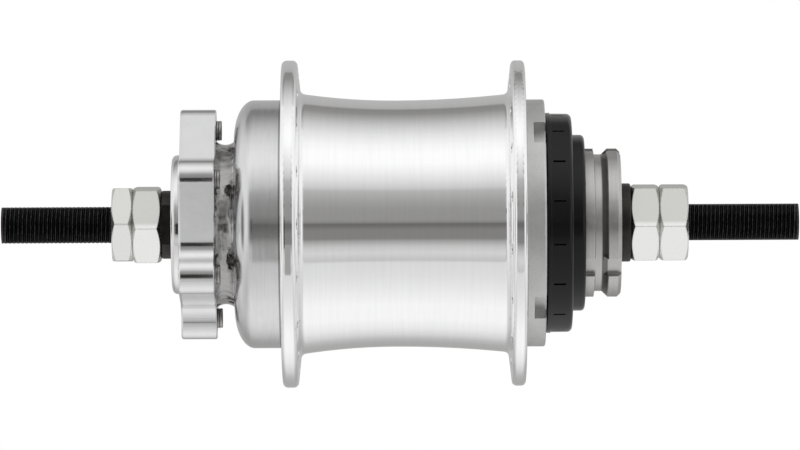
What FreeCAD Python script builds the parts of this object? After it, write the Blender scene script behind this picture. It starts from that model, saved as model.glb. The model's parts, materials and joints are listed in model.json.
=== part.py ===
import FreeCAD, Part
import math
import os

# An internally geared bicycle hub with a six-bolt disc brake mount, as separate pieces.
# Millimetres. The axle lies along Y with the drive side at +Y; the origin is on the axle,
# midway between the outer faces of the two outer locknuts. Angles about the axle start
# at +X and grow towards -Z, which is a right-hand turn about +Y.

Vector = FreeCAD.Vector
ORIGIN = Vector(0, 0, 0)
AXIS = Vector(0, 1, 0)

# axle and what is screwed on it
AXLE_RADIUS = 5.16
AXLE_HALF_LENGTH = 93.5
AXLE_FLAT = 4.25
FLAT_INNER_END = 62.0
HALF_DROPOUT_WIDTH = 67.5
NUT_ACROSS_FLATS = 17.0
INDICATOR_BORE = 2.4
KEY_SLOT = (0.8, 12.4)
KEY_SLOT_HALF_WIDTH = 1.6
CONE_BARREL = 9.0
CONE_FLATS = 6.5

# shell
LEFT_FLANGE = (-27.6, -24.0)
RIGHT_FLANGE = (26.2, 29.3)
LEFT_FLANGE_RADIUS = 38.4
RIGHT_FLANGE_RADIUS = 38.2
SHELL_WAIST = 28.9
WAIST_Y = -1.0
SHELL_BORE = 25.5
SPOKES_PER_FLANGE = 18
LEFT_SPOKE_CIRCLE = 35.4
RIGHT_SPOKE_CIRCLE = 34.7
SPOKE_HOLE = 1.3

# disc brake end
DISC_SEAT = -51.4
COLLAR_LEFT = -53.4
DISC_BACK = -43.0
DISC_BOLTS = 6
DISC_BOLT_CIRCLE = 22.0
DISC_TURN = 1.7
DISC_BOSS = 4.3
DISC_BOSS_CIRCLE = 22.65
DISC_HOLLOW = 4.3
DISC_BOLT_HOLE = 2.1
NECK_RADIUS = 18.7
NECK_FLARE = 19.55
CAP_RADIUS = 29.1
CAP_LEFT = -38.75

# bearings: ball radius, ball circle radius, plane of the ball centres
HUB_BALL = 3.175
HUB_BALL_CIRCLE = 10.0
HUB_BALL_PLANE = 43.5
HUB_BALLS = 8
RING_BALL = 2.38
RING_BALL_CIRCLE = 19.0
RING_BALL_PLANE = 31.0
RING_BALLS = 24
RACE_GAP = 0.065

# gear train
MODULE = 0.7
SUN_TEETH = 20
PLANET_TEETH = 20
RING_TEETH = 60
PRESSURE_ANGLE = 20.0
PLANETS = 4
PLANET_CIRCLE = MODULE * (SUN_TEETH + PLANET_TEETH) / 2
FLANK_BACKLASH = 0.045
PIN_RADIUS = 2.5
CAGE_BORE = 5.24
CLUTCH_LEAD = 21.5
CLUTCH_ARM = 5.0
CLUTCH_REACH = 18.9
GEAR_RING_RADIUS = 24.4
DOG_LEFT = 4.2

# driver
DRIVER_TUBE = (8.6, 11.2)
DRIVER_LEFT = -3.3
SPROCKET_LAND = 17.4
CLIP_GROOVE = 16.05
DRIVER_RIGHT = 51.6
SPROCKET_NOTCH_WIDTH = 5.0
SPROCKET_NOTCH_ANGLE = 38.0

# pawls and ratchets: the tip points against the angle's sense, which is forward
LOW_TEETH = 16
LOW_TIP = 20.0
LOW_ROOT = 21.35
RING_PAWL_TEETH = 24
RING_PAWL_TIP = 24.75
RING_PAWL_ROOT = 26.4


def spot(radius, angle, y):
    """The point at a radius and an angle about the axle, in the plane at y."""
    turn = math.radians(angle)
    return Vector(radius * math.cos(turn), y, -radius * math.sin(turn))


def at_angle(shape, angle):
    """The shape turned about the axle."""
    copy = shape.copy()
    copy.rotate(ORIGIN, AXIS, angle)
    return copy


def path(points):
    """Joined edges through (point, corner radius) pairs, open at the two ends."""
    edges = []
    here = points[0][0]
    for index in range(1, len(points) - 1):
        corner, radius = points[index]
        if radius == 0:
            edges.append(Part.makeLine(here, corner))
            here = corner
            continue
        back = (points[index - 1][0] - corner).normalize()
        ahead = (points[index + 1][0] - corner).normalize()
        half = back.getAngle(ahead) / 2
        inward = (back + ahead).normalize()
        centre = corner + inward * (radius / math.sin(half))
        first = corner + back * (radius / math.tan(half))
        last = corner + ahead * (radius / math.tan(half))
        edges.append(Part.makeLine(here, first))
        edges.append(Part.Arc(first, centre - inward * radius, last).toShape())
        here = last
    edges.append(Part.makeLine(here, points[-1][0]))
    return edges


def cut_back(before, corner, after, radius):
    """How far from a corner its rounding starts."""
    half = (before - corner).getAngle(after - corner) / 2
    return radius / math.tan(half)


def closed(points):
    """A closed wire through (point, corner radius) pairs; it starts mid-way along a straight."""
    last, last_radius = points[-1]
    first, first_radius = points[0]
    from_last = cut_back(points[-2][0], last, first, last_radius)
    from_first = cut_back(last, first, points[1][0], first_radius)
    along = first - last
    straight = along.Length - from_last - from_first
    start = last + along * ((from_last + straight / 2) / along.Length)
    loop = [(start, 0)] + points + [(start, 0)]
    return Part.Wire(path(loop))


def whole(shape):
    """The shape as one solid with its faces looking outwards."""
    solid = shape.Solids[0] if shape.Solids else Part.Solid(shape.Shells[0])
    if solid.Volume < 0:
        solid.reverse()
    return solid


def profile(points):
    """(point, corner radius) pairs from (radius, y) or (radius, y, corner radius)."""
    pairs = []
    for point in points:
        corner = point[2] if len(point) > 2 else 0
        pairs.append((Vector(point[0], point[1], 0), corner))
    return pairs


def turned_wire(wire):
    return whole(Part.Face(wire).revolve(ORIGIN, AXIS, 360))


def turned(points):
    """The solid of revolution about the axle of a closed outline."""
    return turned_wire(closed(profile(points)))


def tube(inner, outer, left, right):
    return turned([(inner, left), (outer, left), (outer, right), (inner, right)])


def arc_between(centre, radius, start, end):
    """An arc in the turning plane; angles in degrees from +X (radius) towards +Y."""
    middle = (start + end) / 2
    spots = []
    for angle in (start, middle, end):
        turn = math.radians(angle)
        offset = Vector(radius * math.cos(turn), radius * math.sin(turn), 0)
        spots.append(centre + offset)
    return Part.Arc(*spots).toShape()


def end_of(edge):
    return edge.valueAt(edge.LastParameter)


def start_of(edge):
    return edge.valueAt(edge.FirstParameter)


def prism(points, left, right):
    """A wire of (point, corner radius) pairs in the plane at left, pushed to right."""
    face = Part.Face(closed(points))
    return whole(face.extrude(Vector(0, right - left, 0)))


def flat_points(pairs, y):
    """(point, corner radius) pairs from (radius, angle) pairs, all in the plane at y."""
    return [(spot(radius, angle, y), 0) for radius, angle in pairs]


def rod(radius, circle, angle, left, right):
    """A round rod along Y whose middle is at an angle on a circle about the axle."""
    return Part.makeCylinder(radius, right - left, spot(circle, angle, left), AXIS)


def block(x, y, z):
    """A box from (low, high) pairs."""
    size = (x[1] - x[0], y[1] - y[0], z[1] - z[0])
    return Part.makeBox(size[0], size[1], size[2], Vector(x[0], y[0], z[0]))


def hexagon(across_flats, bore, left, right, angle):
    """A nut on the axle with both faces chamfered; one vertex is at the angle."""
    corner = across_flats / math.sqrt(3)
    pairs = [(corner, angle + 60 * step) for step in range(6)]
    body = prism(flat_points(pairs, left), left, right)
    face_radius = across_flats / 2 * 0.97
    drop = (corner - face_radius) * math.tan(math.radians(28))
    chamfers = turned([
        (bore, left), (face_radius, left), (corner + 0.01, left + drop),
        (corner + 0.01, right - drop), (face_radius, right), (bore, right),
    ])
    return whole(body.common(chamfers))


def involute(angle):
    return math.tan(angle) - angle


def gear_wire(teeth, tip, root, thickness_shift, left):
    """A gear's outline. A positive shift (mm at the pitch circle) makes each tooth thicker."""
    pitch = MODULE * teeth / 2
    base = pitch * math.cos(math.radians(PRESSURE_ANGLE))
    half_pitch_angle = math.pi / (2 * teeth) + thickness_shift / pitch
    pitch_roll = involute(math.radians(PRESSURE_ANGLE))

    def half_angle(radius):
        roll = involute(math.acos(min(1.0, base / radius)))
        return math.degrees(half_pitch_angle + pitch_roll - roll)

    low = max(base, root)
    middle = (low + tip) / 2
    edges = []
    for tooth in range(teeth):
        centre = 360.0 * tooth / teeth
        after = 360.0 * (tooth + 1) / teeth
        rise = [
            spot(low, centre - half_angle(low), left),
            spot(middle, centre - half_angle(middle), left),
            spot(tip, centre - half_angle(tip), left),
        ]
        fall = [
            spot(tip, centre + half_angle(tip), left),
            spot(middle, centre + half_angle(middle), left),
            spot(low, centre + half_angle(low), left),
        ]
        foot = spot(root, centre + half_angle(low), left)
        next_foot = spot(root, after - half_angle(low), left)
        next_low = spot(low, after - half_angle(low), left)
        edges.append(Part.Arc(*rise).toShape())
        edges.append(Part.Arc(rise[2], spot(tip, centre, left), fall[0]).toShape())
        edges.append(Part.Arc(*fall).toShape())
        if low > root:
            edges.append(Part.makeLine(fall[2], foot))
        half_way = spot(root, centre + 180.0 / teeth, left)
        edges.append(Part.Arc(foot, half_way, next_foot).toShape())
        if low > root:
            edges.append(Part.makeLine(next_foot, next_low))
    return Part.Wire(edges)


def gear_blank(teeth, tip, root, thickness_shift, left, right):
    face = Part.Face(gear_wire(teeth, tip, root, thickness_shift, left))
    return whole(face.extrude(Vector(0, right - left, 0)))


def ratchet_space(teeth, tip, root, steep_angle, left, right):
    """The hollow inside an internal ratchet; one steep face is at steep_angle."""
    pairs = []
    for tooth in range(teeth):
        steep = steep_angle + 360.0 * tooth / teeth
        pairs.append((tip, steep))
        pairs.append((root, steep))
    return prism(flat_points(pairs, left), left, right)


class Pawl:
    """A pawl that is a strut from a pivot pin to a ratchet tooth."""

    def __init__(self, pivot, heel, reach, tip, thickness, fold, left, right):
        self.pivot = pivot
        self.heel = heel
        self.reach = reach
        self.tip = tip
        self.thickness = thickness
        self.fold = fold
        self.left = left
        self.right = right
        self.tip_across = math.sqrt(tip ** 2 - reach ** 2)
        self.tip_angle = -math.degrees(math.atan2(reach, self.tip_across))

    def body(self, grow, left, right):
        """The engaged pawl at angle 0, larger all round by grow."""
        inner = 1 - (self.thickness + grow) / self.tip
        outer = 1 + grow / self.tip
        far = self.reach + grow
        lean = math.atan2(self.tip_across - self.pivot, self.reach)
        heel = self.heel + grow
        out_x = heel * math.cos(lean)
        out_z = -heel * math.sin(lean)
        outline = [
            (Vector(self.pivot + out_x, left, out_z), 0),
            (Vector(self.tip_across * outer, left, far), 0),
            (Vector(self.tip_across * inner, left, far * inner), 0),
            (Vector(self.pivot - out_x, left, -out_z), 0),
        ]
        strut = prism(outline, left, right)
        return strut.fuse(rod(heel, self.pivot, 0, left, right)).removeSplitter()

    def turned_by(self, shape, angle):
        """The shape turned about the pivot."""
        copy = shape.copy()
        copy.rotate(spot(self.pivot, 0, 0), AXIS, angle)
        return copy

    def piece(self, position, folded):
        """The pawl with its pin hole, placed at an angle about the axle."""
        shape = self.body(0, self.left, self.right)
        hole = rod(PAWL_PIN + 0.06, self.pivot, 0, self.left - 1, self.right + 1)
        shape = shape.cut(hole)
        if folded:
            shape = self.turned_by(shape, -self.fold)
        return at_angle(whole(shape), position)

    def pocket(self, position):
        """The room the pawl and its spring need in its carrier."""
        left = self.left - 0.15
        right = self.right + 0.15
        room = self.body(0.35, left, right)
        for share in (0.35, 0.7, 1.0):
            room = room.fuse(self.turned_by(self.body(0.35, left, right), -self.fold * share))
        deep = self.turned_by(self.body(0.35, left, right), -self.fold - SPRING_ROOM)
        room = room.fuse(deep)
        return at_angle(room, position)

    def pin(self, position, left, right):
        return rod(PAWL_PIN, self.pivot, position, left, right)

    def spring(self, position):
        """A leaf under the pawl, on a foot that stands on the pocket's floor."""
        left = self.left + 0.6
        right = self.right - 0.6
        lean = math.atan2(self.tip_across - self.pivot, self.reach)
        heel_x = self.pivot - self.heel * math.cos(lean)
        near = Vector(heel_x, left, self.heel * math.sin(lean))
        inner = 1 - self.thickness / self.tip
        far = Vector(self.tip_across * inner, left, self.reach * inner)
        along = far - near
        length = along.Length
        along.normalize()
        inward = Vector(-along.z, 0, along.x)
        start = near + along * (length * 0.35)
        end = near + along * (length * 0.88)
        foot = start + along * 0.9
        outline = [
            (start, 0), (end, 0), (end + inward * LEAF, 0), (foot + inward * LEAF, 0),
            (foot + inward * LEAF_FOOT, 0), (start + inward * LEAF_FOOT, 0),
        ]
        leaf = self.turned_by(prism(outline, left, right), -self.fold - LEAF_ROOM)
        return at_angle(leaf, position)


PAWL_PIN = 0.8
SPRING_ROOM = 6.0
LEAF_ROOM = 4.0
LEAF = 0.2
LEAF_FOOT = 0.40
LOW_PAWL = Pawl(16.8, 2.0, 7.6, 20.9, 1.6, 13.0, -32.5, -28.8)
RING_PAWL = Pawl(22.4, 1.5, 6.5, 25.85, 1.2, 13.0, 20.2, 23.4)
LOW_PAWL_ANGLES = (45.0, 225.0)
RING_PAWL_ANGLES = (30.0, 210.0)
LOW_STEEP_GAP = 1.7
RING_STEEP_GAP = 1.4

# ------------------------------------------------------------------ axle and its fittings


def make_axle():
    shaft = turned([
        (0.0, -AXLE_HALF_LENGTH), (AXLE_RADIUS, -AXLE_HALF_LENGTH, 0.9),
        (AXLE_RADIUS, AXLE_HALF_LENGTH, 0.9), (0.0, AXLE_HALF_LENGTH),
    ])
    wide = AXLE_RADIUS + 1
    for side in (-1, 1):
        low = min(side * FLAT_INNER_END, side * (AXLE_HALF_LENGTH + 1))
        high = max(side * FLAT_INNER_END, side * (AXLE_HALF_LENGTH + 1))
        for up in (-1, 1):
            z = sorted((up * AXLE_FLAT, up * wide))
            shaft = shaft.cut(block((-wide, wide), (low, high), z))
    half = KEY_SLOT_HALF_WIDTH
    shaft = shaft.cut(block((-wide, wide), KEY_SLOT, (-half, half)))
    bore = rod(INDICATOR_BORE, 0, 0, KEY_SLOT[1] - 0.5, AXLE_HALF_LENGTH + 1)
    return whole(shaft.cut(bore))


def hub_race(centre_y, side, start, end, ball, circle):
    """A race arc round a ball, start and end measured from the plane of the balls."""
    centre = Vector(circle, centre_y, 0)
    return arc_between(centre, ball + RACE_GAP, start * side, end * side)


def make_cone(side, body_radius, outer_end, wrench_start):
    """A cone on one side of the hub; side is -1 at the left and 1 at the right."""
    plane = HUB_BALL_PLANE * side
    race = hub_race(plane, side, 108.0, 170.0, HUB_BALL, HUB_BALL_CIRCLE)
    low = start_of(race)
    high = end_of(race)
    if low.x > high.x:
        low, high = high, low
    inner_end = side * 42.5
    outside = profile([
        (low.x, low.y), (low.x, inner_end), (AXLE_RADIUS, inner_end),
        (AXLE_RADIUS, side * outer_end), (body_radius, side * outer_end, 0.5),
        (body_radius, side * wrench_start), (high.x, side * wrench_start),
        (high.x, high.y),
    ])
    return turned_wire(Part.Wire([race] + path(outside)))


def make_left_cone():
    cone = make_cone(-1, 8.0, 56.0, 53.3)
    for side in (-1, 1):
        x = sorted((side * CONE_FLATS, side * 12))
        cone = cone.cut(block(x, (-57, -53.3), (-12, 12)))
    return whole(cone)


def make_right_cone():
    return make_cone(1, 9.2, 54.1, 51.2)


def make_spring_cap():
    return turned([
        (5.2, 39.2), (7.7, 39.2), (7.7, 40.0), (6.6, 40.0), (6.6, 42.5), (5.2, 42.5),
    ])


def make_clutch_spring():
    coil = 6.5
    wire = 0.6
    first = 6.3
    last = 38.5
    turns = 11
    helix = Part.makeHelix((last - first) / turns, last - first, coil)
    start = Vector(coil, 0, 0)
    circle = Part.Wire(Part.makeCircle(wire, start, Vector(0, 1, 0)))
    body = Part.Wire(helix).makePipeShell([circle], True, True)
    body.rotate(ORIGIN, Vector(1, 0, 0), -90)
    body.translate(Vector(0, first, 0))
    return whole(body)


# ------------------------------------------------------------------ shell and its ends


def barrel_radius(y):
    """The polished barrel is waisted: it grows towards both flanges."""
    rise, reach = (1.7, 22.2) if y < WAIST_Y else (1.2, 24.2)
    return SHELL_WAIST + rise * ((y - WAIST_Y) / reach) ** 2


def barrel_arc(start, end):
    spots = []
    for y in (start, (start + end) / 2, end):
        spots.append(Vector(barrel_radius(y), y, 0))
    return Part.Arc(*spots).toShape()


def make_hub_shell():
    left_start = -21.4
    right_end = 23.4
    arcs = [barrel_arc(left_start, WAIST_Y), barrel_arc(WAIST_Y, right_end)]
    right = profile([
        (barrel_radius(right_end), right_end),
        (barrel_radius(25.4), 25.3, 1.2),
        (RIGHT_FLANGE_RADIUS, RIGHT_FLANGE[0], 1.1),
        (RIGHT_FLANGE_RADIUS, RIGHT_FLANGE[1], 1.1),
        (27.5, RIGHT_FLANGE[1]),
        (27.5, 19.0),
        (SHELL_BORE, 19.0),
        (SHELL_BORE, -23.6),
        (27.0, -23.6),
        (27.0, LEFT_FLANGE[0]),
        (LEFT_FLANGE_RADIUS, LEFT_FLANGE[0], 1.2),
        (LEFT_FLANGE_RADIUS, LEFT_FLANGE[1], 1.2),
        (barrel_radius(-23.2), -23.2, 1.3),
        (barrel_radius(left_start), left_start),
    ])
    shell = turned_wire(Part.Wire(arcs + path(right)))
    holes = []
    flanges = (
        (LEFT_FLANGE, LEFT_SPOKE_CIRCLE, 0.0),
        (RIGHT_FLANGE, RIGHT_SPOKE_CIRCLE, 180.0 / SPOKES_PER_FLANGE),
    )
    for flange, circle, offset in flanges:
        for index in range(SPOKES_PER_FLANGE):
            angle = offset + 360.0 * index / SPOKES_PER_FLANGE
            holes.append(rod(SPOKE_HOLE, circle, angle, flange[0] - 1, flange[1] + 1))
    return whole(shell.cut(Part.makeCompound(holes)))


def disc_star():
    """The pinwheel plate of six bosses: one side of each arm is long, one nearly radial."""
    long_side = math.radians(45.9)
    short_side = math.radians(-87.3)
    middle = (long_side + short_side) / 2
    reach = DISC_BOSS / math.cos((long_side - short_side) / 2)
    corner_u = DISC_BOSS_CIRCLE + reach * math.cos(middle)
    corner_v = reach * math.sin(middle)
    corner_radius = math.hypot(corner_u, corner_v)
    corner_angle = math.degrees(math.atan2(corner_v, corner_u))
    outline = []
    for index in range(DISC_BOLTS):
        arm = disc_angle(index)
        outline.append((spot(corner_radius, arm + corner_angle, DISC_SEAT), DISC_BOSS))
        outline.append((spot(20.07, arm + 47.2, DISC_SEAT), DISC_HOLLOW))
    plate = prism(outline, DISC_SEAT, DISC_BACK)
    front = [edge for edge in plate.Edges if in_plane(edge, DISC_SEAT)]
    back = [edge for edge in plate.Edges if in_plane(edge, DISC_BACK)]
    plate = plate.makeFillet(0.6, front)
    back = [edge for edge in plate.Edges if in_plane(edge, DISC_BACK)]
    return plate.makeChamfer(0.25, back)


def in_plane(edge, y):
    box = edge.BoundBox
    return abs(box.YMin - y) < 1e-4 and abs(box.YMax - y) < 1e-4


def disc_angle(index):
    return -90.0 + DISC_TURN + 60.0 * index


def make_disc_end():
    dome_low = Vector(20.6, CAP_LEFT, 0)
    dome_high = Vector(CAP_RADIUS, -34.1, 0)
    centre = Vector(20.6, -34.1, 0)
    ellipse = Part.Ellipse(dome_high, dome_low, centre)
    dome = Part.ArcOfEllipse(ellipse, 0, math.pi / 2).toShape()
    outside = profile([
        (CAP_RADIUS, -34.1), (CAP_RADIUS, LEFT_FLANGE[0]), (26.98, LEFT_FLANGE[0]),
        (26.98, -23.6), (23.0, -23.6), (23.0, -36.0), (15.0, -36.0), (15.0, -50.5),
        (14.2, -50.5), (14.2, COLLAR_LEFT), (16.3, COLLAR_LEFT, 1.2), (16.3, DISC_SEAT),
        (18.2, DISC_SEAT), (18.2, -44.4), (NECK_FLARE, DISC_BACK),
    ])
    neck_start = Vector(NECK_FLARE, DISC_BACK, 0)
    neck_middle = Vector(NECK_RADIUS, (DISC_BACK + CAP_LEFT) / 2, 0)
    neck_end = Vector(NECK_FLARE, CAP_LEFT, 0)
    neck = Part.Arc(neck_start, neck_middle, neck_end).toShape()
    face = Part.makeLine(neck_end, dome_low)
    body = turned_wire(Part.Wire([dome] + path(outside) + [neck, face]))
    plate = disc_star().cut(rod(17.0, 0, 0, DISC_SEAT - 1, DISC_BACK + 1))
    body = body.fuse(plate)
    for index in range(DISC_BOLTS):
        hole = rod(3.1, DISC_BOLT_CIRCLE, disc_angle(index), DISC_SEAT - 1, DISC_BACK + 0.01)
        body = body.cut(hole)
    return whole(body.removeSplitter())


def make_disc_inserts():
    """Thread sleeves in the bosses; each tail stands out behind the plate."""
    sleeves = []
    for index in range(DISC_BOLTS):
        angle = disc_angle(index)
        sleeve = rod(3.1, DISC_BOLT_CIRCLE, angle, DISC_SEAT + 0.4, DISC_BACK)
        sleeve = sleeve.fuse(rod(2.4, DISC_BOLT_CIRCLE, angle, DISC_BACK, DISC_BACK + 1.25))
        bore = rod(DISC_BOLT_HOLE, DISC_BOLT_CIRCLE, angle, DISC_SEAT, DISC_BACK + 2)
        sleeves.append(whole(sleeve.cut(bore)))
    return Part.makeCompound(sleeves)


def make_left_ball_cup():
    race = hub_race(-HUB_BALL_PLANE, 1, 0.0, 90.0, HUB_BALL, HUB_BALL_CIRCLE)
    low = start_of(race)
    high = end_of(race)
    rest = profile([
        (high.x, high.y), (9.5, high.y), (9.5, -33.5), (LOW_TIP, -33.5), (LOW_TIP, -27.6),
        (23.0, -27.6), (23.0, -36.0), (15.0, -36.0), (15.0, -50.5), (13.3, -50.5),
        (13.3, low.y), (low.x, low.y),
    ])
    cup = turned_wire(Part.Wire([race] + path(rest)))
    steep = LOW_PAWL_ANGLES[0] + LOW_PAWL.tip_angle - LOW_STEEP_GAP
    space = ratchet_space(LOW_TEETH, LOW_TIP, LOW_ROOT, steep, -33.5, -27.0)
    return whole(cup.cut(space))


def make_ball_ring():
    race = arc_between(Vector(RING_BALL_CIRCLE, RING_BALL_PLANE, 0), RING_BALL + RACE_GAP, -82.0, 0.0)
    low = start_of(race)
    high = end_of(race)
    face = RIGHT_FLANGE[1]
    rest = profile([
        (high.x, high.y), (high.x, 33.45), (22.5, 33.45), (22.5, 33.9),
        (29.0, 33.9, 0.5), (29.0, face, 0.4), (27.5, face), (27.5, 19.0),
        (RING_PAWL_TIP, 19.0), (RING_PAWL_TIP, 26.6), (17.0, 26.6), (17.0, low.y),
        (low.x, low.y),
    ])
    ring = turned_wire(Part.Wire([race] + path(rest)))
    steep = RING_PAWL_ANGLES[0] + RING_PAWL.tip_angle - RING_STEEP_GAP
    space = ratchet_space(RING_PAWL_TEETH, RING_PAWL_TIP, RING_PAWL_ROOT, steep, 18.5, 24.3)
    ring = ring.cut(space)
    for step in range(4):
        notch = block((25.9, 30), (31.1, 34.5), (-3.5, 3.5))
        ring = ring.cut(at_angle(notch, -47.0 + 90 * step))
    return whole(ring)


def make_balls(ball, circle, plane, count, first):
    balls = []
    for index in range(count):
        middle = spot(circle, first + 360.0 * index / count, plane)
        balls.append(Part.makeSphere(ball, middle))
    return Part.makeCompound(balls)


def make_retainer(side):
    """A crown ring beyond the balls with a finger between each pair of them."""
    back = (side * 46.9, side * 47.6)
    finger = (side * 43.0, side * 47.0)
    ring = tube(9.5, 11.6, min(back), max(back))
    for index in range(HUB_BALLS):
        angle = 360.0 * (index + 0.5) / HUB_BALLS
        rod_left = min(finger)
        ring = ring.fuse(rod(0.42, 10.55, angle, rod_left, rod_left + 4.0))
    return whole(ring.removeSplitter())


# ------------------------------------------------------------------ driver and clutch


def make_driver():
    ring_race = arc_between(
        Vector(RING_BALL_CIRCLE, RING_BALL_PLANE, 0), RING_BALL + RACE_GAP, 180.0, 104.2)
    cup_race = arc_between(
        Vector(HUB_BALL_CIRCLE, HUB_BALL_PLANE, 0), HUB_BALL + RACE_GAP, 0.0, -90.0)
    outside = profile([
        (end_of(ring_race).x, end_of(ring_race).y), (18.4, 34.2), (17.0, 34.2), (17.0, 43.2),
        (SPROCKET_LAND, 43.2), (SPROCKET_LAND, 45.3), (CLIP_GROOVE, 45.5), (CLIP_GROOVE, 47.2),
        (SPROCKET_LAND, 48.6), (SPROCKET_LAND, 50.8), (16.6, DRIVER_RIGHT),
        (14.2, DRIVER_RIGHT), (14.2, 49.8), (13.3, 49.8), (13.3, HUB_BALL_PLANE),
        (start_of(cup_race).x, HUB_BALL_PLANE),
    ])
    cup_end = end_of(cup_race)
    inside = profile([
        (cup_end.x, cup_end.y), (DRIVER_TUBE[0], cup_end.y), (DRIVER_TUBE[0], DRIVER_LEFT),
        (DRIVER_TUBE[1], DRIVER_LEFT), (DRIVER_TUBE[1], 26.6), (16.2, 26.6),
        (16.2, RING_BALL_PLANE), (start_of(ring_race).x, RING_BALL_PLANE),
    ])
    edges = [ring_race] + path(outside) + [cup_race] + path(inside)
    driver = turned_wire(Part.Wire(edges))
    half = CLUTCH_ARM / 2 + 0.15
    for index in range(PLANETS):
        slot = block((7, 12), (DRIVER_LEFT - 1, 9.0), (-half, half))
        driver = driver.cut(at_angle(slot, CLUTCH_LEAD + 360.0 * index / PLANETS))
    half = SPROCKET_NOTCH_WIDTH / 2
    for index in range(3):
        notch = block((CLIP_GROOVE, 20), (43.2, DRIVER_RIGHT + 1), (-half, half))
        driver = driver.cut(at_angle(notch, SPROCKET_NOTCH_ANGLE + 120 * index))
    return whole(driver)


def make_driver_dust_cap():
    cap = turned([
        (17.0, 34.2), (18.6, 34.2), (18.6, 38.5), (24.0, 38.5), (24.2, 34.2),
        (25.85, 34.2, 0.2), (25.85, 35.1), (25.65, 35.1), (25.6, 40.2, 1.2), (17.0, 40.2),
    ])
    slits = []
    for index in range(16):
        slit = block((24.6, 27), (35.6, 38.4), (-0.25, 0.25))
        slits.append(at_angle(slit, 11.25 + 22.5 * index))
    return whole(cap.cut(Part.makeCompound(slits)))


def make_clutch():
    hub = turned([
        (6.25, -2.2), (7.6, -2.2), (7.6, -3.2), (8.4, -3.2), (8.4, -0.2), (6.25, -0.2),
    ])
    half = CLUTCH_ARM / 2
    for index in range(PLANETS):
        arm = block((8.0, CLUTCH_REACH + 1), (-3.2, -0.2), (-half, half))
        arm = arm.common(rod(CLUTCH_REACH, 0, 0, -4, 1))
        hub = hub.fuse(at_angle(arm, CLUTCH_LEAD + 360.0 * index / PLANETS))
    return whole(hub.removeSplitter())


def make_clutch_sleeve():
    sleeve = turned([
        (5.24, -3.2), (7.3, -3.2), (7.3, -2.4), (6.2, -2.4), (6.2, 4.9), (5.24, 4.9),
    ])
    return whole(sleeve.cut(block((-8, 8), (1.0, 4.0), (-1.4, 1.4))))


def make_axle_key():
    key = block((-7.4, 7.4), (1.0, 4.0), (-1.4, 1.4))
    return whole(key.cut(rod(1.1, 0, 0, 0, 5)))


# ------------------------------------------------------------------ planet cage and gears


def make_planet_cage():
    drum = tube(CAGE_BORE, 19.6, -33.3, -28.2)
    left_plate = tube(CAGE_BORE, 19.0, -28.2, -22.5)
    right_plate = tube(CAGE_BORE, 19.0, -7.9, -4.0)
    cage = drum.fuse(left_plate).fuse(right_plate)
    for index in range(PLANETS):
        between = 45 + 90 * index
        cage = cage.fuse(rod(3.0, 15.8, between, -23.0, -7.5))
    for index in range(PLANETS):
        cage = cage.cut(rod(PIN_RADIUS, PLANET_CIRCLE, 90 * index, -27.5, -3.9))
    for position in LOW_PAWL_ANGLES:
        cage = cage.cut(LOW_PAWL.pocket(position))
        cage = cage.cut(LOW_PAWL.pin(position, -33.0, -26.0))
    return whole(cage.removeSplitter())


def make_planet_pins():
    pins = []
    for index in range(PLANETS):
        pins.append(rod(PIN_RADIUS, PLANET_CIRCLE, 90 * index, -27.5, 0.5))
    return Part.makeCompound(pins)


def make_sun():
    pitch = MODULE * SUN_TEETH / 2
    blank = gear_blank(
        SUN_TEETH, pitch + MODULE, pitch - 1.25 * MODULE, -FLANK_BACKLASH, -22.0, -8.4)
    return whole(blank.cut(rod(AXLE_RADIUS, 0, 0, -23, -7)))


def make_planet(index):
    pitch = MODULE * PLANET_TEETH / 2
    blank = gear_blank(
        PLANET_TEETH, pitch + MODULE, pitch - 1.25 * MODULE, -FLANK_BACKLASH, -22.2, -8.2)
    blank.rotate(ORIGIN, AXIS, 180.0 / PLANET_TEETH)
    blank = blank.cut(rod(PIN_RADIUS + 0.06, 0, 0, -23, -7))
    blank.translate(spot(PLANET_CIRCLE, 0, 0))
    return at_angle(whole(blank), 90 * index)


def make_gear_ring():
    tooth_tip = MODULE * RING_TEETH / 2 - MODULE
    tooth_root = MODULE * RING_TEETH / 2 + 1.25 * MODULE
    ring = turned([
        (tooth_tip, -23.0), (GEAR_RING_RADIUS, -23.0), (GEAR_RING_RADIUS, 26.0),
        (11.7, 26.0), (11.7, 24.3), (19.4, 24.3), (19.4, 8.2), (tooth_tip, 8.2),
    ])
    space = gear_blank(RING_TEETH, tooth_root, tooth_tip, FLANK_BACKLASH, -23.5, -7.8)
    space.rotate(ORIGIN, AXIS, 180.0 / RING_TEETH)
    ring = ring.cut(space)
    for index in range(PLANETS):
        dog = block((16.9, 21.0), (DOG_LEFT, 8.2), (-3.0, 3.0))
        dog = at_angle(dog, CLUTCH_LEAD + 45 + 90 * index)
        ring = ring.fuse(dog)
    for position in RING_PAWL_ANGLES:
        ring = ring.cut(RING_PAWL.pocket(position))
        ring = ring.cut(RING_PAWL.pin(position, 18.6, 25.0))
    return whole(ring.removeSplitter())


def make_pawl_pins(pawl, positions, left, right):
    return Part.makeCompound([pawl.pin(position, left, right) for position in positions])


def make_pawl_springs(pawl, positions):
    return Part.makeCompound([pawl.spring(position) for position in positions])


# ------------------------------------------------------------------ all the pieces

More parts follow.
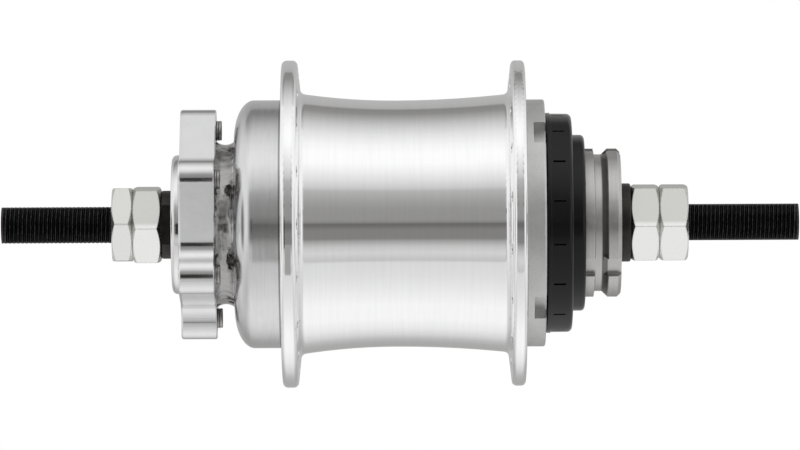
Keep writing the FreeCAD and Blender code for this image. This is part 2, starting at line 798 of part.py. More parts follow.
outer_left = (-HALF_DROPOUT_WIDTH, -62.65)
outer_right = (60.75, HALF_DROPOUT_WIDTH)
pieces = {
    "axle": make_axle(),
    "sun_gear": make_sun(),
    "left_cone": make_left_cone(),
    "left_cone_dust_cap": tube(CONE_BARREL, 13.9, -53.3, -52.5),
    "left_locknut_inner": hexagon(NUT_ACROSS_FLATS, AXLE_RADIUS, -62.6, -56.0, 5.8),
    "left_locknut_outer": hexagon(NUT_ACROSS_FLATS, AXLE_RADIUS, *outer_left, -1.2),
    "right_cone": make_right_cone(),
    "right_cone_dust_cap": tube(CONE_BARREL, 13.9, 50.4, 51.2),
    "right_locknut_inner": hexagon(NUT_ACROSS_FLATS, AXLE_RADIUS, 54.1, 60.7, 5.6),
    "right_locknut_outer": hexagon(NUT_ACROSS_FLATS, AXLE_RADIUS, *outer_right, 5.6),
    "clutch_spring": make_clutch_spring(),
    "spring_cap": make_spring_cap(),
    "hub_shell": make_hub_shell(),
    "disc_end": make_disc_end(),
    "disc_inserts": make_disc_inserts(),
    "left_ball_cup": make_left_ball_cup(),
    "ball_ring": make_ball_ring(),
    "ball_ring_dust_cap": tube(18.8, 22.5, 33.45, 33.85),
    "left_balls": make_balls(HUB_BALL, HUB_BALL_CIRCLE, -HUB_BALL_PLANE, HUB_BALLS, 0),
    "left_ball_retainer": make_retainer(-1),
    "ring_balls": make_balls(RING_BALL, RING_BALL_CIRCLE, RING_BALL_PLANE, RING_BALLS, 0),
    "driver_balls": make_balls(HUB_BALL, HUB_BALL_CIRCLE, HUB_BALL_PLANE, HUB_BALLS, 0),
    "driver_ball_retainer": make_retainer(1),
    "driver": make_driver(),
    "driver_dust_cap": make_driver_dust_cap(),
    "driver_dust_seal": turned([
        (17.0, 40.2), (20.65, 40.2), (20.65, 43.2, 1.0), (17.0, 43.2),
    ]),
    "clutch": make_clutch(),
    "clutch_sleeve": make_clutch_sleeve(),
    "axle_key": make_axle_key(),
    "thrust_ring": tube(6.3, 8.2, 4.05, 5.6),
    "planet_cage": make_planet_cage(),
    "planet_pins": make_planet_pins(),
    "low_pawl_pins": make_pawl_pins(LOW_PAWL, LOW_PAWL_ANGLES, -33.0, -26.0),
    "low_pawl_springs": make_pawl_springs(LOW_PAWL, LOW_PAWL_ANGLES),
    "gear_ring": make_gear_ring(),
    "ring_pawl_pins": make_pawl_pins(RING_PAWL, RING_PAWL_ANGLES, 18.6, 25.0),
    "ring_pawl_springs": make_pawl_springs(RING_PAWL, RING_PAWL_ANGLES),
}
for index in range(PLANETS):
    pieces["planet_gear_%d" % (index + 1)] = make_planet(index)
for index, position in enumerate(LOW_PAWL_ANGLES):
    pieces["low_pawl_%d" % (index + 1)] = LOW_PAWL.piece(position, True)
for index, position in enumerate(RING_PAWL_ANGLES):
    pieces["ring_pawl_%d" % (index + 1)] = RING_PAWL.piece(position, False)

os.makedirs("parts", exist_ok=True)
for name, shape in pieces.items():
    print(name, len(shape.Solids), round(shape.Volume, 1), shape.isValid())
    shape.exportStep("parts/%s.step" % name)
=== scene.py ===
import json
import math

import bmesh
import bpy
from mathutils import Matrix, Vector


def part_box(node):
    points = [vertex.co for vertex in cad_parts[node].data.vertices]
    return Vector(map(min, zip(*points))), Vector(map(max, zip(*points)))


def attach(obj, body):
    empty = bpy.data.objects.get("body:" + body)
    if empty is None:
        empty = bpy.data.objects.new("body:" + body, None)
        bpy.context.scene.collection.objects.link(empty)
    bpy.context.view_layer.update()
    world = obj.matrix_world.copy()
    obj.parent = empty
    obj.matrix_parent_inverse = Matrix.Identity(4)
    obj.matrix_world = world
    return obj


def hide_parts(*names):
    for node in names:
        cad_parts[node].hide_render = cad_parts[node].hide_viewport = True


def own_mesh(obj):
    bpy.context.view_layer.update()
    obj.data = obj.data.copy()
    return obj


# The looks of a bicycle hub gear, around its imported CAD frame. Metres.
# The axle lies along Y with the drive side at +Y; the camera stands on +X.
# An angle about the axle starts at +X and grows towards -Z, as it does in the CAD.

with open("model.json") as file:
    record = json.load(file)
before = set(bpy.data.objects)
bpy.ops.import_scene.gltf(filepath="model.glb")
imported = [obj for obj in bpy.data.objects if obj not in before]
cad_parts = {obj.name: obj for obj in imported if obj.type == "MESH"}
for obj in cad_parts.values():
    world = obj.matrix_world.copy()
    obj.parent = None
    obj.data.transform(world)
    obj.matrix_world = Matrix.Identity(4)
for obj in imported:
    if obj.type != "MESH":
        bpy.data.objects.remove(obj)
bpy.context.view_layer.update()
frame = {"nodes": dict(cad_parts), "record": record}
nodes = frame["nodes"]

MM = 0.001

# ------------------------------------------------------------------ camera and floor

CAMERA_DISTANCE = 1.5
CAMERA_FOCAL = 287.4
CAMERA_ROLL = math.radians(0.285)
CAMERA_HEIGHT = -0.33 * MM
SENSOR_WIDTH = 36.0

FLOOR_DROP = 0.30
FLOOR_REACH = 5.0
FLOOR_CORNERS = 96
FLOOR_TONE = (0.9, 0.9, 0.9, 1)
FLOOR_ROUGHNESS = 0.9
FLOOR_GLOW = 0.25


def make_camera():
    data = bpy.data.cameras.new("camera")
    data.sensor_width = SENSOR_WIDTH
    data.lens = CAMERA_FOCAL
    data.clip_start = 0.01
    data.clip_end = 50.0
    camera = bpy.data.objects.new("camera", data)
    bpy.context.scene.collection.objects.link(camera)
    camera.location = (CAMERA_DISTANCE, 0.0, CAMERA_HEIGHT)
    camera.rotation_euler = (math.radians(90), CAMERA_ROLL, math.radians(90))
    bpy.context.scene.camera = camera


def make_floor():
    """A round pale floor, which the hub's gloss doesn't see."""
    corners = []
    for index in range(FLOOR_CORNERS):
        turn = 2 * math.pi * index / FLOOR_CORNERS
        corners.append((FLOOR_REACH * math.cos(turn), FLOOR_REACH * math.sin(turn), -FLOOR_DROP))
    mesh = bpy.data.meshes.new("studio_floor")
    mesh.from_pydata(corners, [], [tuple(range(FLOOR_CORNERS))])
    floor = bpy.data.objects.new("studio_floor", mesh)
    bpy.context.scene.collection.objects.link(floor)
    floor.visible_glossy = False
    material = bpy.data.materials.new("studio_floor")
    material.use_nodes = True
    shader = material.node_tree.nodes["Principled BSDF"]
    shader.inputs["Base Color"].default_value = FLOOR_TONE
    shader.inputs["Roughness"].default_value = FLOOR_ROUGHNESS
    shader.inputs["Emission Color"].default_value = (1, 1, 1, 1)
    shader.inputs["Emission Strength"].default_value = FLOOR_GLOW
    mesh.materials.append(material)


# ------------------------------------------------------------------ node trees


class Tree:
    """A node tree, with short ways to add to it. An input is a value or another node's output."""

    def __init__(self, tree):
        self.tree = tree

    def add(self, kind, inputs=None, **settings):
        node = self.tree.nodes.new("ShaderNode" + kind)
        for name, value in settings.items():
            setattr(node, name, value)
        for name, value in (inputs or {}).items():
            self.put(node.inputs[name], value)
        return node

    def put(self, socket, value):
        if isinstance(value, bpy.types.NodeSocket):
            self.tree.links.new(value, socket)
        elif socket.type == "RGBA":
            socket.default_value = (*value, 1)
        else:
            socket.default_value = value

    def math(self, operation, first, second=0.0):
        return self.add("Math", {0: first, 1: second}, operation=operation).outputs[0]

    def plus(self, first, second):
        return self.math("ADD", first, second)

    def minus(self, first, second):
        return self.math("SUBTRACT", first, second)

    def times(self, first, second):
        return self.math("MULTIPLY", first, second)

    def spread(self, value, low, high, out_low=0.0, out_high=1.0, kind="LINEAR"):
        """The value from low to high, carried over to out_low to out_high and kept there."""
        node = self.add("MapRange", {
            "Value": value, "From Min": low, "From Max": high,
            "To Min": out_low, "To Max": out_high,
        }, interpolation_type=kind)
        return node.outputs["Result"]

    def ramp(self, value, stops, low, high, interpolation="LINEAR"):
        """A ramp through (value, grey or colour) stops, between low and high."""
        node = self.add("ValToRGB", {0: self.spread(value, low, high)})
        node.color_ramp.interpolation = interpolation
        elements = node.color_ramp.elements
        elements.remove(elements[-1])
        for index, (place, level) in enumerate(stops):
            share = (place - low) / (high - low)
            stop = elements[0] if index == 0 else elements.new(share)
            stop.position = share
            tone = level if isinstance(level, tuple) else (level, level, level)
            stop.color = (*tone, 1)
        return node.outputs["Color"]

    def blend(self, share, first, second):
        """A colour between the first and the second."""
        inputs = {"Factor": share, "A": first, "B": second}
        return self.add("Mix", inputs, data_type="RGBA").outputs["Result"]

    def tinted(self, color, level):
        """The colour, made lighter or darker by a level round 1."""
        inputs = {"Factor": 1.0, "A": color, "B": level}
        return self.add("Mix", inputs, data_type="RGBA", blend_type="MULTIPLY").outputs["Result"]


# ------------------------------------------------------------------ studio light

# Brightness of the studio seen round the axle, by the angle above the line to the camera.
# Overhead is a wide soft box; below is another; the dark bands are the camera and its stand.
STUDIO_ABOVE = (
    (0, 0.15), (3.0, 0.15), (4.4, 0.30), (13, 0.31), (20, 0.36), (30, 0.47), (33, 0.61),
    (40, 0.76), (50, 0.93), (58, 1.03), (68, 1.04), (78, 0.97), (90, 0.82), (104, 0.60),
    (115, 0.41), (124, 0.28), (133, 0.25), (137, 0.43), (146, 0.46), (180, 0.50),
)
STUDIO_BELOW = (
    (-180, 0.50), (-160, 0.40), (-146, 0.43), (-136, 0.52), (-127, 0.69), (-115, 0.86),
    (-100, 0.97), (-82, 0.97), (-65, 0.87), (-50, 0.77), (-36, 0.72), (-34.5, 0.56),
    (-27, 0.68), (-21, 0.57), (-15.5, 0.34), (-14, 0.23), (-6.0, 0.23), (-4.2, 0.15), (0, 0.15),
)
# Towards the ends of the axle are white walls, with a dark opening at either end.
# Low down the walls are darker. All of it goes by the parts of the direction looked in.
SIDE_WALL_BLEND = (0.35, 0.85)
SIDE_WALLS = ((0, 0.95), (0.965, 0.95), (0.99, 0.15), (1, 0.15))
SIDE_WALL_FOOT = -0.75
SIDE_WALL_TOP = -0.1
SIDE_WALL_LEVELS = (0.6, 1.0)
# Dark parts of the room are a little warm.
WARM_SHADE = (1.0, 0.985, 0.965)
SHADE_LEVELS = (0.2, 0.6)
WHITE = (1, 1, 1)

# Two cards stand in front of the brake side, and are seen only in the hub's gloss.
# Each is (distance from the axle, low and high along the axle, low and high in height, level).
CARDS = (
    (160 * MM, -43.5 * MM, -22 * MM, -101 * MM, -36 * MM, 0.36),
    (150 * MM, -59.5 * MM, -46 * MM, -40 * MM, 12 * MM, 0.004),
)


def make_world():
    """The studio: reflected and lighting everything, while the camera itself sees plain white."""
    world = bpy.data.worlds.new("studio")
    bpy.context.scene.world = world
    world.use_nodes = True
    world.node_tree.nodes.clear()
    t = Tree(world.node_tree)
    split = t.add("SeparateXYZ", {0: t.add("TexCoord").outputs["Generated"]})
    out_x, out_y, out_z = split.outputs
    angle = t.math("DEGREES", t.math("ARCTAN2", out_z, out_x))
    above = t.ramp(angle, STUDIO_ABOVE, 0, 180)
    below = t.ramp(angle, STUDIO_BELOW, -180, 0)
    round_about = t.blend(t.math("GREATER_THAN", angle, 0.0), below, above)
    warmth = t.blend(t.spread(round_about, *SHADE_LEVELS), WARM_SHADE, WHITE)
    shaded = t.tinted(round_about, warmth)
    sideways = t.math("ABSOLUTE", out_y)
    aside = t.spread(sideways, *SIDE_WALL_BLEND, kind="SMOOTHSTEP")
    darkened = t.spread(out_z, SIDE_WALL_FOOT, SIDE_WALL_TOP, *SIDE_WALL_LEVELS)
    walls = t.times(t.ramp(sideways, SIDE_WALLS, 0, 1), darkened)
    studio = t.add("Background", {"Color": t.blend(aside, shaded, walls)})
    plain = t.add("Background", {"Color": WHITE})
    seen = t.add("LightPath").outputs["Is Camera Ray"]
    choose = t.add("MixShader", {0: seen, 1: studio.outputs[0], 2: plain.outputs[0]})
    t.add("OutputWorld", {"Surface": choose.outputs[0]})


def make_cards():
    for index, (away, left, right, low, high, level) in enumerate(CARDS):
        name = f"studio_card_{index}"
        corners = [(away, left, low), (away, right, low), (away, right, high), (away, left, high)]
        mesh = bpy.data.meshes.new(name)
        mesh.from_pydata(corners, [], [(0, 1, 2, 3)])
        card = bpy.data.objects.new(name, mesh)
        bpy.context.scene.collection.objects.link(card)
        material = bpy.data.materials.new(name)
        material.use_nodes = True
        t = Tree(material.node_tree)
        t.tree.nodes.clear()
        glow = t.add("Emission", {"Color": [level * part for part in WARM_SHADE]})
        t.add("OutputMaterial", {"Surface": glow.outputs[0]})
        mesh.materials.append(material)
        card.visible_camera = False
        card.visible_diffuse = False
        card.visible_shadow = False
        card.visible_transmission = False


# ------------------------------------------------------------------ materials

# How much red, green and blue each material gives back.
POLISHED_TONE = (0.95, 0.95, 0.955)
SINTERED_TONE = (0.68, 0.68, 0.675)
DRIVER_TONE = (0.56, 0.553, 0.542)
PLASTIC_TONE = (0.0045, 0.0045, 0.0047)
PLASTIC_RUBBED_TONE = (0.030, 0.029, 0.028)
ZINC_TONE = (0.985, 0.985, 0.965)
# painted shade: the zinc's tone on the upper half of each nut
ZINC_PAINTED_SHADE_TONE = (0.745, 0.75, 0.71)
BLACK_RUBBED_TONE = (0.30, 0.29, 0.28)

# Patterns are laid out in millimetres about the axle, and relief is in micrometres.
MICROMETRE = 1e-6
EDGE_ROUNDING = 0.12
PIT_EDGES = (0.08, 0.35)
DRAWN_STRETCH = 12.0
BRUSH_TURN = 0.25
# How far a rounded normal leans from the face's own at an edge, and how sharp an outer edge is.
EDGE_LEANS = (0.985, 0.80)
RIDGE_LEVELS = (0.46, 0.52)


class Look(Tree):
    """A material. Its patterns are laid out in millimetres about the axle."""

    def __init__(self, name, metallic):
        self.material = bpy.data.materials.new(name)
        self.material.use_nodes = True
        super().__init__(self.material.node_tree)
        self.shader = self.tree.nodes["Principled BSDF"]
        self.shader.inputs["Metallic"].default_value = metallic
        self.heights = []
        coords = self.add("TexCoord").outputs["Object"]
        scaled = self.add("VectorMath", {0: coords, "Scale": 1 / MM}, operation="SCALE")
        self.place = scaled.outputs["Vector"]
        self.x, self.y, self.z = self.add("SeparateXYZ", {0: self.place}).outputs
        flat = self.add("CombineXYZ", {0: self.x, 2: self.z}).outputs[0]
        self.radius = self.add("VectorMath", {0: flat}, operation="LENGTH").outputs["Value"]
        self.turn = self.math("ARCTAN2", self.z, self.x)

    def noise(self, size, detail=2.0, vector=None):
        """A cloudy pattern from 0 to 1, with cells of that size."""
        inputs = {"Vector": vector or self.place, "Scale": 1 / size, "Detail": detail}
        return self.add("TexNoise", inputs).outputs["Fac"]

    def rings(self, size, drift=1.0, detail=2.0):
        """Lines left by turning: fine across the surface, and long round the axle."""
        inputs = {0: self.radius, 1: self.y, 2: self.times(self.turn, drift * size)}
        return self.noise(size, detail, self.add("CombineXYZ", inputs).outputs[0])

    def along(self, size):
        """Lines left by drawing or milling along the axle."""
        inputs = {0: self.x, 1: self.math("DIVIDE", self.y, DRAWN_STRETCH), 2: self.z}
        return self.noise(size, vector=self.add("CombineXYZ", inputs).outputs[0])

    def cells(self, size):
        """The crystal-like cells of a surface."""
        return self.add("TexVoronoi", {"Vector": self.place, "Scale": 1 / size})

    def varied(self, base, pattern, change):
        """A number that the pattern moves up and down by the change."""
        return self.spread(pattern, 0.3, 0.7, base - change, base + change)

    def centred(self, pattern, mask):
        """The pattern from -0.5 to 0.5, where the mask lets it through."""
        return self.times(self.minus(pattern, 0.5), mask)

    def corner(self, width):
        """1 along the edges of the piece, outer and inner, 0 on its faces."""
        rounded = self.add("Bevel", {"Radius": width * MM}, samples=4).outputs[0]
        true = self.add("NewGeometry").outputs["True Normal"]
        lean = self.add("VectorMath", {0: rounded, 1: true}, operation="DOT_PRODUCT")
        return self.spread(lean.outputs["Value"], *EDGE_LEANS)

    def edge(self, width):
        """1 along the outer edges of the piece, 0 on its faces."""
        ridge = self.add("NewGeometry").outputs["Pointiness"]
        return self.times(self.corner(width), self.spread(ridge, *RIDGE_LEVELS))

    def bump(self, pattern, height):
        """Adds relief of that height."""
        self.heights.append((pattern, height))

    def brushed(self, amount):
        """Gloss drawn out along the axle, as it is over lines that run round it."""
        self.shader.inputs["Anisotropic"].default_value = amount
        self.shader.inputs["Anisotropic Rotation"].default_value = BRUSH_TURN
        tangent = self.add("Tangent", direction_type="RADIAL", axis="Y")
        self.put(self.shader.inputs["Tangent"], tangent.outputs[0])

    def finish(self, color, roughness):
        """Sets the colour, the gloss and all the relief, over edges that are a little round."""
        self.put(self.shader.inputs["Base Color"], color)
        self.put(self.shader.inputs["Roughness"], roughness)
        normal = self.add("Bevel", {"Radius": EDGE_ROUNDING * MM}, samples=4).outputs[0]
        for pattern, height in self.heights:
            inputs = {"Height": pattern, "Distance": height * MICROMETRE, "Normal": normal}
            normal = self.add("Bump", inputs).outputs[0]
        self.put(self.shader.inputs["Normal"], normal)
        return self.material


def polished_aluminium():
    look = Look("look_shell_polished", 1.0)
    lines = look.rings(0.12)
    wide_lines = look.rings(0.9, drift=2.0)
    smears = look.noise(9.0, 3.0)
    color = look.tinted(POLISHED_TONE, look.varied(0.99, wide_lines, 0.015))
    roughness = look.plus(look.varied(0.068, smears, 0.012), look.varied(0.0, lines, 0.012))
    look.brushed(0.35)
    look.bump(lines, 0.25)
    look.bump(look.noise(14.0), 3.0)
    return look.finish(color, roughness)


# The disc mount end has four finishes, one after the other along the axle: polished collar,
# milled star, cast neck and brushed cap; the neck's dark tone is partly painted shade. Each is
# (where it starts, its tone, its roughness).
END_START = -54.5
END_STOP = -24.0
END_FINISHES = (
    (END_START, (0.84, 0.84, 0.84), 0.09),
    (-51.05, (0.78, 0.78, 0.785), 0.12),
    # the neck's dark tone is partly its cast finish and partly painted shade of the recess behind
    # the star
    (-42.98, (0.40, 0.395, 0.39), 0.13),
    (-38.9, (0.73, 0.73, 0.735), 0.19),
)
STAR_GRIT = (-50.95, -43.05)
NECK_LUMPS = (-43.0, -38.7)
CAP_LINES = (-39.2, -38.4)
SEAM_SHADE = (-28.25, -28.0)
SEAM_TONE = 0.38


def turned_end():
    look = Look("look_end_turned", 1.0)

    def finishes(column):
        stops = [(part[0], part[column]) for part in END_FINISHES]
        return look.ramp(look.y, stops, END_START, END_STOP, "CONSTANT")

    def between(start, stop):
        stops = ((END_START, 0.0), (start, 1.0), (stop, 0.0))
        return look.ramp(look.y, stops, END_START, END_STOP, "CONSTANT")

    tone = finishes(1)
    gloss = finishes(2)
    on_star = between(*STAR_GRIT)
    on_neck = between(*NECK_LUMPS)
    on_cap = look.spread(look.y, *CAP_LINES)
    fine = look.rings(0.10)
    grit = look.noise(0.22, 3.0)
    lines = look.centred(look.rings(0.55, drift=3.0, detail=3.0), on_cap)
    specks = look.centred(grit, on_star)
    level = look.plus(look.varied(0.985, look.noise(5.0, 3.0), 0.02), look.times(lines, 0.16))
    level = look.plus(level, look.times(specks, 0.16))
    level = look.plus(level, look.times(look.edge(0.35), 0.08))
    # painted shade: a dark line in the seam against the flange, where shade falls between the cap
    # and the flange
    level = look.times(level, look.spread(look.y, *SEAM_SHADE, 1.0, SEAM_TONE))
    roughness = look.plus(gloss, look.times(specks, 0.14))
    roughness = look.plus(roughness, look.times(lines, 0.10))
    look.brushed(0.55)
    look.bump(look.times(fine, on_cap), 0.7)
    look.bump(look.times(grit, on_star), 2.2)
    look.bump(look.noise(3.5), 9.0)
    look.bump(look.times(look.noise(2.6, 1.0), on_neck), 420.0)
    return look.finish(look.tinted(tone, level), roughness)


def sintered_steel():
    look = Look("look_ring_steel", 1.0)
    pits = look.spread(look.cells(0.55).outputs["Distance"], *PIT_EDGES)
    grain = look.noise(0.18, 3.0)
    cloud = look.noise(6.0, 4.0)
    worn = look.edge(0.3)
    level = look.times(look.varied(0.98, cloud, 0.05), look.varied(1.0, grain, 0.05))
    level = look.times(level, look.spread(pits, 0.0, 1.0, 0.86, 1.0))
    level = look.plus(level, look.times(worn, 0.15))
    roughness = look.minus(look.varied(0.50, grain, 0.06), look.times(worn, 0.15))
    look.bump(grain, 7.0)
    look.bump(pits, 12.0)
    return look.finish(look.tinted(SINTERED_TONE, level), roughness)


# The sloping wall of the driver's clip groove, between soft ends, and how dark its painted shade
# is.
GROOVE_SLOPE_START = (46.9, 47.1)
GROOVE_SLOPE_STOP = (48.45, 48.25)
GROOVE_PAINTED_SHADE_TONE = 0.34


def hardened_steel():
    look = Look("look_driver_steel", 1.0)
    lines = look.rings(0.16)
    scale = look.noise(2.2, 4.0)
    worn = look.edge(0.35)
    level = look.times(look.varied(0.97, scale, 0.07), look.varied(1.0, lines, 0.04))
    level = look.plus(level, look.times(worn, 0.35))
    # painted shade: the sloping wall of the groove is darkened, as it lies in shadow
    on_slope = look.times(look.spread(look.y, *GROOVE_SLOPE_START),
                          look.spread(look.y, *GROOVE_SLOPE_STOP))
    level = look.times(level, look.spread(on_slope, 0, 1, 1.0, GROOVE_PAINTED_SHADE_TONE))
    roughness = look.minus(look.varied(0.40, scale, 0.06), look.times(worn, 0.14))
    look.brushed(0.3)
    look.bump(lines, 1.6)
    look.bump(look.noise(0.14), 3.0)
    return look.finish(look.tinted(DRIVER_TONE, level), roughness)


def moulded_plastic():
    look = Look("look_black_plastic", 0.0)
    look.shader.inputs["Specular IOR Level"].default_value = 0.27
    grain = look.noise(0.16, 3.0)
    flow = look.noise(7.0, 3.0)
    scuffs = look.spread(look.rings(0.35, drift=5.0, detail=4.0), 0.62, 0.74)
    rubbed = look.math("MAXIMUM", look.times(look.edge(0.3), 0.7), look.times(scuffs, 0.3))
    color = look.blend(rubbed, PLASTIC_TONE, PLASTIC_RUBBED_TONE)
    roughness = look.plus(look.varied(0.16, flow, 0.03), look.varied(0.0, grain, 0.03))
    look.bump(grain, 4.0)
    look.bump(look.noise(1.6), 5.0)
    return look.finish(color, roughness)


def zinc_plate():
    look = Look("look_nut_zinc", 1.0)
    spangle = look.add("SeparateColor", {0: look.cells(0.5).outputs["Color"]}).outputs[0]
    haze = look.noise(3.0, 3.0)
    level = look.times(look.spread(spangle, 0, 1, 0.965, 1.01), look.varied(0.985, haze, 0.025))
    # painted shade: the nut's edges, outer and inner, are darkened into dark outlines
    level = look.minus(level, look.times(look.corner(0.45), 0.6))
    # painted shade: the upper half of each nut is darker than the lower half
    plating = look.blend(look.spread(look.z, -0.4, 0.4), ZINC_TONE, ZINC_PAINTED_SHADE_TONE)
    roughness = look.plus(look.varied(0.33, haze, 0.05), look.spread(spangle, 0, 1, -0.03, 0.03))
    look.bump(look.noise(0.2, 3.0), 3.0)
    look.bump(look.along(0.3), 2.0)
    return look.finish(look.tinted(plating, level), roughness)


def black_oxide(name, tone, rub):
    """Blackened steel, rubbed lighter where it stands out."""
    look = Look(name, 1.0)
    lines = look.rings(0.14)
    bloom = look.noise(1.8, 4.0)
    patchy = look.spread(look.noise(0.8, 3.0), 0.42, 0.62)
    share = look.times(look.times(look.edge(0.3), patchy), rub)
    dark = look.tinted(tone, look.varied(1.0, bloom, 0.22))
    color = look.blend(share, dark, BLACK_RUBBED_TONE)
    roughness = look.plus(look.varied(0.40, bloom, 0.07), look.varied(0.0, lines, 0.03))
    look.bump(lines, 2.0)
    look.bump(look.noise(0.12), 2.0)
    return look.finish(color, roughness)


def cut_steel(name, tone, gloss, size, turned):
    """Bright steel left as it came from its last tool, with a little oil on it."""
    look = Look(name, 1.0)
    lines = look.rings(size) if turned else look.along(size)
    oil = look.noise(4.0, 4.0)
    level = look.times(look.varied(0.97, oil, 0.05), look.varied(1.0, lines, 0.04))
    level = look.plus(level, look.times(look.edge(0.25), 0.18))
    roughness = look.plus(look.varied(gloss, oil, 0.05), look.varied(0.0, lines, 0.03))
    look.bump(lines, 1.5)
    return look.finish(look.tinted(tone, level), look.math("MAXIMUM", roughness, 0.04))


looks = {
    "axle_black": black_oxide("look_axle_black", (0.030, 0.030, 0.031), 0.35),
    "cone_black": black_oxide("look_cone_black", (0.050, 0.047, 0.043), 0.6),
    "nut_zinc": zinc_plate(),
    "shell_polished": polished_aluminium(),
    "end_turned": turned_end(),
    "insert_steel": cut_steel("look_insert_steel", (0.52, 0.51, 0.49), 0.34, 0.10, False),
    "ring_steel": sintered_steel(),
    "driver_steel": hardened_steel(),
    "black_plastic": moulded_plastic(),
    "gear_steel": cut_steel("look_gear_steel", (0.54, 0.54, 0.53), 0.30, 0.12, False),
    "bearing_steel": cut_steel("look_bearing_steel", (0.80, 0.80, 0.81), 0.09, 0.40, True),
    "pressed_steel": cut_steel("look_pressed_steel", (0.60, 0.60, 0.59), 0.28, 0.10, True),
    "spring_steel": cut_steel("look_spring_steel", (0.42, 0.41, 0.40), 0.30, 0.08, True),
}

slot_of = {entry["node"]: entry["material_slot"] for entry in frame["record"]["subparts"]}
for name, node in nodes.items():
    node.data.materials.clear()
    node.data.materials.append(looks[slot_of[name]])

# ------------------------------------------------------------------ screw threads

SHARP_ANGLE = math.radians(32)
THREAD_FLAT = 0.12

AXLE_PITCH = 25.4 / 26 * MM
AXLE_STEPS = 8
AXLE_SPOKES = 72
AXLE_THREAD_FROM = 55.0 * MM
AXLE_THREAD_DEPTH = 0.60 * MM
AXLE_FLATS_FROM = 62.0 * MM
AXLE_FLAT = 4.25 * MM
AXLE_FLAT_RIBS = 0.10 * MM
AXLE_CHAMFER = 0.9 * MM
AXLE_PLAIN_RINGS = (-30.0 * MM, 0.0, 30.0 * MM)
BORE = 2.4 * MM
BORE_MOUTH = 2.7 * MM
BORE_END = 11.9 * MM
BORE_MIDDLE = 31.9 * MM

SLEEVE_CIRCLE = 22.0 * MM
SLEEVE_SHOULDER = -43.0 * MM
SLEEVE = 3.1 * MM
SLEEVE_TAIL = 2.4 * MM
SLEEVE_BORE = 2.1 * MM
SLEEVE_RIM = 0.2 * MM
SLEEVE_SPOKES = 32
SLEEVE_PITCH = 0.5 * MM
SLEEVE_STEP = SLEEVE_PITCH / 6
SLEEVE_DEPTH = 0.2 * MM
SLEEVE_BORE_PITCH = 0.8 * MM
SLEEVE_BORE_STEP = SLEEVE_PITCH / 4
SLEEVE_BORE_DEPTH = 0.15 * MM
SLEEVE_GAP = math.radians(20)


def thread_depth(y, turn, pitch, depth):
    """How far a thread's groove reaches in from its crest, at a place on the screw."""
    phase = (y / pitch - turn / (2 * math.pi)) % 1.0
    slope = abs(2 * phase - 1)
    return depth * min(max((slope - THREAD_FLAT) / (1 - 2 * THREAD_FLAT), 0.0), 1.0)


def lathe(rows, spokes, radius_at):
    """Rings of vertices joined by faces; a row is (kind, y, radius), as radius_at reads it."""
    shape = bmesh.new()
    rings = []
    for row in rows:
        ring = []
        for index in range(spokes):
            turn = 2 * math.pi * index / spokes
            radius = radius_at(*row, turn)
            ring.append(shape.verts.new((radius * math.cos(turn), row[1], radius * math.sin(turn))))
        rings.append(ring)
    for first, second in zip(rings, rings[1:]):
        for index in range(spokes):
            after = (index + 1) % spokes
            shape.faces.new((first[index], first[after], second[after], second[index]))
    return shape, rings


def to_object(shape, name, look):
    """The bmesh as an object with smooth faces and sharp corners."""
    bmesh.ops.recalc_face_normals(shape, faces=shape.faces)
    for face in shape.faces:
        face.smooth = True
    for edge in shape.edges:
        edge.smooth = len(edge.link_faces) != 2 or edge.calc_face_angle(0) < SHARP_ANGLE
    mesh = bpy.data.meshes.new(name)
    shape.to_mesh(mesh)
    shape.free()
    mesh.materials.append(look)
    made = bpy.data.objects.new(name, mesh)
    bpy.context.scene.collection.objects.link(made)
    return made


def make_threaded_axle():
    """The axle with its threads: along the outside, then back through the bore of its drive end."""
    axle_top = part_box("axle")[1]
    half_length = axle_top.y
    crest = axle_top.x

    step = AXLE_PITCH / AXLE_STEPS
    count = int((half_length - AXLE_THREAD_FROM) / step)
    threaded = {AXLE_THREAD_FROM + index * step for index in range(count + 1)}
    threaded = sorted(threaded | {half_length - AXLE_CHAMFER, half_length})
    outside = [-y for y in reversed(threaded)] + list(AXLE_PLAIN_RINGS) + threaded
    rows = [("skin", y, crest) for y in outside]
    rows += [
        ("bore", half_length, BORE_MOUTH),
        ("bore", half_length - (BORE_MOUTH - BORE), BORE),
        ("bore", BORE_MIDDLE, BORE),
        ("bore", BORE_END, BORE),
    ]

    def radius_at(kind, y, radius, turn):
        if kind == "bore":
            return radius
        away = abs(y)
        if away >= AXLE_THREAD_FROM:
            groove = thread_depth(y, turn, AXLE_PITCH, AXLE_THREAD_DEPTH)
            runout = min((away - AXLE_THREAD_FROM) / AXLE_PITCH, 1.0)
            chamfered = crest - AXLE_CHAMFER + (half_length - away)
            radius = min(crest - groove * runout, chamfered)
        if away >= AXLE_FLATS_FROM:
            # the brake side's flats are finely ribbed
            ribs = thread_depth(y, turn, AXLE_PITCH, AXLE_FLAT_RIBS) if y < 0 else 0.0
            radius = min(radius, (AXLE_FLAT - ribs) / max(abs(math.sin(turn)), 0.1))
        return radius

    shape, rings = lathe(rows, AXLE_SPOKES, radius_at)
    shape.faces.new(rings[0])
    shape.faces.new(rings[-1])
    axle = to_object(shape, "threaded_axle", looks["axle_black"])
    return axle


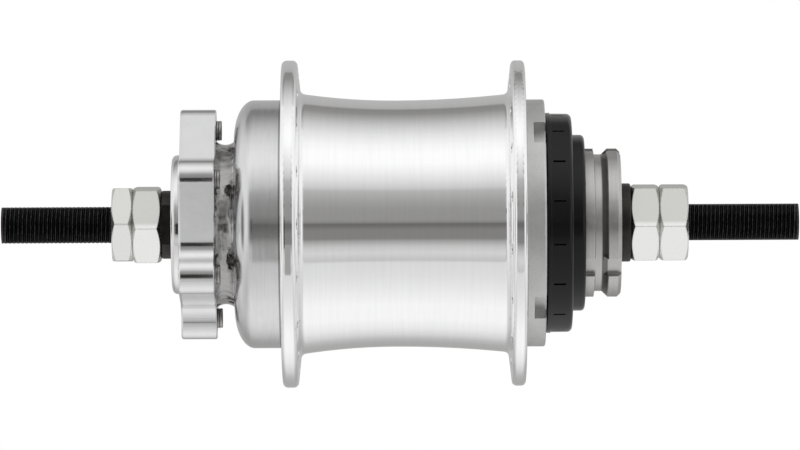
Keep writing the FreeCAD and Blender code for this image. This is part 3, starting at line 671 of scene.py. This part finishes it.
def make_insert():
    """A thread sleeve of the disc mount, whose tail stands out behind the plate."""
    low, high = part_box("disc_inserts")
    front = low.y
    back = high.y
    mouth = SLEEVE_BORE + SLEEVE_RIM
    rows = [
        ("plain", front, mouth),
        ("plain", front, SLEEVE - SLEEVE_RIM),
        ("plain", front + SLEEVE_RIM, SLEEVE),
        ("plain", SLEEVE_SHOULDER, SLEEVE),
        ("plain", SLEEVE_SHOULDER, SLEEVE_TAIL),
    ]
    y = SLEEVE_SHOULDER
    while y < back - SLEEVE_RIM:
        rows.append(("tail", y, SLEEVE_TAIL))
        y += SLEEVE_STEP
    rows += [("plain", back, SLEEVE_TAIL - SLEEVE_RIM), ("plain", back, mouth)]
    y = back - SLEEVE_RIM
    while y > front + SLEEVE_RIM:
        rows.append(("bore", y, SLEEVE_BORE))
        y -= SLEEVE_BORE_STEP
    rows.append(("plain", front, mouth))

    def radius_at(kind, y, radius, turn):
        if kind == "tail":
            return radius - thread_depth(y, turn, SLEEVE_PITCH, SLEEVE_DEPTH)
        if kind == "bore":
            return radius + thread_depth(y, turn, SLEEVE_BORE_PITCH, SLEEVE_BORE_DEPTH)
        return radius

    shape = lathe(rows, SLEEVE_SPOKES, radius_at)[0]
    bmesh.ops.remove_doubles(shape, verts=shape.verts, dist=1e-7)
    return shape


def insert_turns():
    """Where the CAD sleeves stand about the axle: the middles of the groups of their vertices."""
    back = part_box("disc_inserts")[1].y
    turns = []
    for vertex in nodes["disc_inserts"].data.vertices:
        if abs(vertex.co.y - back) < 1e-6:
            turns.append(math.atan2(-vertex.co.z, vertex.co.x))
    groups = []
    for turn in sorted(turns):
        if groups and turn - groups[-1][-1] < SLEEVE_GAP:
            groups[-1].append(turn)
        else:
            groups.append([turn])
    return [(group[0] + group[-1]) / 2 for group in groups]


def make_inserts():
    """All the sleeves as one piece, as they are in the CAD."""
    sleeve = make_insert()
    mesh = bpy.data.meshes.new("insert")
    sleeve.to_mesh(mesh)
    sleeve.free()
    joined = bmesh.new()
    for turn in insert_turns():
        before = len(joined.verts)
        joined.from_mesh(mesh)
        joined.verts.ensure_lookup_table()
        shift = SLEEVE_CIRCLE * Vector((math.cos(turn), 0, -math.sin(turn)))
        for vertex in joined.verts[before:]:
            vertex.co += shift
    bpy.data.meshes.remove(mesh)
    inserts = to_object(joined, "threaded_inserts", looks["insert_steel"])
    return inserts


# ------------------------------------------------------------------ clutch spring


def make_closing_spring():
    """The clutch spring, copied from the CAD into an object of its own on the axle set."""
    spring = bpy.data.objects.new("closing_spring", nodes["clutch_spring"].data.copy())
    bpy.context.scene.collection.objects.link(spring)
    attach(spring, "axle_set")
    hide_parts("clutch_spring")
    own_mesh(spring)


make_closing_spring()

axle = make_threaded_axle()
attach(axle, "axle_set")
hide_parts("axle")

inserts = make_inserts()
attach(inserts, "shell_set")
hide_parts("disc_inserts")

make_camera()
make_floor()
make_world()
make_cards()
bpy.context.scene.view_settings.view_transform = "Standard"
